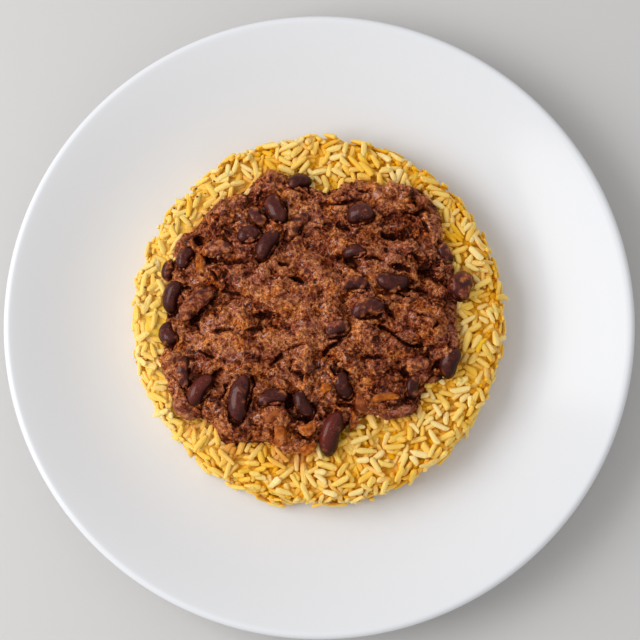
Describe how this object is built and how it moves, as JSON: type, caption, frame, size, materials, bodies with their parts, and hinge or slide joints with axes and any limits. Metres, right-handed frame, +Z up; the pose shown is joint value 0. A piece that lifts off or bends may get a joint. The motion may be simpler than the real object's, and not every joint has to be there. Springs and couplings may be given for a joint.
{
  "type": "plate of chili over rice",
  "caption": "Round bed of yellow rice on a white coupe plate, topped with a heap of dark bean chili, ready to eat.",
  "frame": {"origin": "centre of the plate's foot, on the plane the plate stands on", "axes": "+Z up; -Y towards the diner and the picture's lower edge; +X to the picture's right"},
  "size_m": [0.27, 0.27, 0.039],
  "materials": {
    "plate_glaze": "smooth white glaze",
    "yellow_rice": "moist cooked grains, satin",
    "chili_mince": "moist crumbly mince in thick sauce, satin",
    "bean_skin": "smooth moist bean skin, semi-gloss",
    "cooked_vegetable": "soft cooked vegetable in sauce, semi-gloss"
  },
  "bodies": {
    "root": {"bean_black_right": "bean_skin", "bean_dark_left": "bean_skin", "bean_dark_low": "bean_skin", "bean_glossy": "bean_skin", "bean_glossy_mate": "bean_skin", "bean_kidney_flat": "bean_skin", "bean_kidney_front": "bean_skin", "bean_kidney_left": "bean_skin", "bean_knob_right": "bean_skin", "bean_left_covered": "bean_skin", "bean_left_high": "bean_skin", "bean_left_high_back": "bean_skin", "bean_left_low": "bean_skin", "bean_left_mid": "bean_skin", "bean_left_top_covered": "bean_skin", "bean_low_left_edge": "bean_skin", "bean_low_left_red": "bean_skin", "bean_low_left_upright": "bean_skin", "bean_low_right_edge": "bean_skin", "bean_mid_a": "bean_skin", "bean_mid_b": "bean_skin", "bean_mid_c": "bean_skin", "bean_right_edge_high": "bean_skin", "bean_right_low": "bean_skin", "bean_right_mid": "bean_skin", "bean_right_round": "bean_skin", "bean_slant_a": "bean_skin", "bean_slant_b": "bean_skin", "bean_sunk_mid": "bean_skin", "bean_top_edge": "bean_skin", "bean_upper_right": "bean_skin", "bean_wrinkled": "bean_skin", "chili": "chili_mince", "onion_folded": "cooked_vegetable", "onion_slab": "cooked_vegetable", "pepper_bit": "cooked_vegetable", "pepper_left": "cooked_vegetable", "pepper_long": "cooked_vegetable", "plate": "plate_glaze", "rice": "yellow_rice", "tomato_corner": "cooked_vegetable", "tomato_front": "cooked_vegetable", "tomato_skin": "cooked_vegetable", "tomato_sunk": "cooked_vegetable"}
  },
  "joints": []
}
